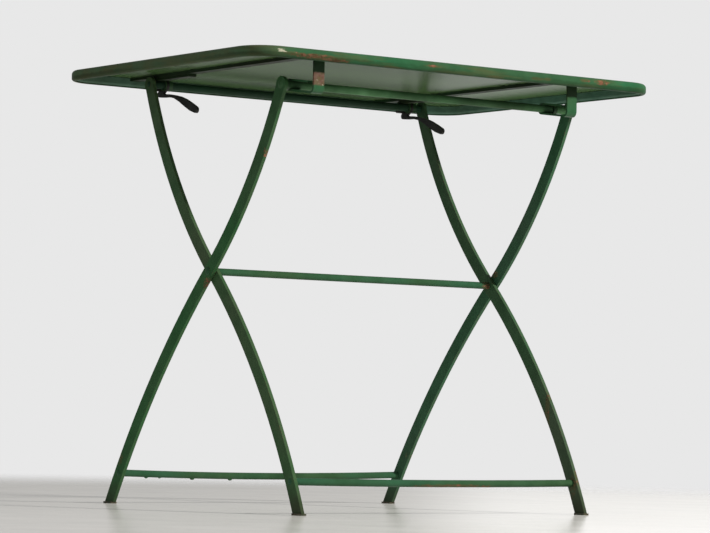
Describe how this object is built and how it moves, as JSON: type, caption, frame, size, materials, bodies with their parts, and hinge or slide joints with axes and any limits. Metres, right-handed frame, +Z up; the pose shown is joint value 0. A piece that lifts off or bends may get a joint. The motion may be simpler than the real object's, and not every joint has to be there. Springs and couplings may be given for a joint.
{
  "type": "folding bistro table",
  "caption": "Folding iron bistro table with a rimmed rectangular top on crossed, S-curved flat-bar legs that scissor shut.",
  "frame": {"origin": "on the floor under the pivot axle, midway along the table top and midway across it", "axes": "+X along the long side of the top, +Y across it towards the latch side, +Z up"},
  "size_m": [0.838, 0.6105, 0.74],
  "materials": {
    "green_paint": "worn dark green enamel over steel, chipped to rust along edges",
    "top_paint": "worn dark green enamel on the face and rim, duller grey green underneath",
    "bare_foot": "bare grey brown steel, worn and lightly rusted",
    "black_lever": "dull black with a little wear",
    "rivet_paint": "green enamel worn to brown steel on the heads"
  },
  "bodies": {
    "outer_frame": {"outer_leg_left": "green_paint", "outer_leg_right": "green_paint", "outer_foot_left": "bare_foot", "outer_foot_right": "bare_foot", "near_top_bar": "green_paint", "far_stretcher": "green_paint", "bar_collar_left": "rivet_paint", "bar_collar_right": "rivet_paint"},
    "inner_frame": {"inner_leg_left": "green_paint", "inner_leg_right": "green_paint", "inner_foot_left": "bare_foot", "inner_foot_right": "bare_foot", "far_top_bar": "green_paint", "near_stretcher": "green_paint", "pivot_axle": "green_paint", "pivot_washers": "rivet_paint", "lever_collars": "rivet_paint"},
    "table_top": {"top_sheet": "top_paint", "edge_bar": "green_paint", "rib_left": "green_paint", "rib_right": "green_paint", "bar_loop_left": "green_paint", "bar_loop_right": "green_paint", "bar_hook_left": "green_paint", "bar_hook_right": "green_paint", "loop_rivets": "rivet_paint", "hook_rivets": "rivet_paint"},
    "latch_left": {"latch_lever_left": "black_lever", "catch_pin_left": "black_lever"},
    "latch_right": {"latch_lever_right": "black_lever", "catch_pin_right": "black_lever"}
  },
  "joints": [
    {"name": "frame_fold", "type": "hinge", "parent": "outer_frame", "child": "inner_frame", "pos_m": [0, 0, 0.394], "axis": [1, 0, 0], "range_deg": [0, 55]},
    {"name": "top_tilt", "type": "hinge", "parent": "outer_frame", "child": "table_top", "pos_m": [0, -0.201, 0.6915], "axis": [1, 0, 0], "range_deg": [0, 28.11]},
    {"name": "latch_left_lift", "type": "hinge", "parent": "inner_frame", "child": "latch_left", "pos_m": [0, 0.21, 0.7212], "axis": [-1, 0, 0], "range_deg": [0, 20]},
    {"name": "latch_right_lift", "type": "hinge", "parent": "inner_frame", "child": "latch_right", "pos_m": [0, 0.21, 0.7212], "axis": [-1, 0, 0], "range_deg": [0, 20]}
  ],
  "couplings": [
    {"joint": "top_tilt", "follows": "frame_fold", "ratio": 0.511}
  ]
}
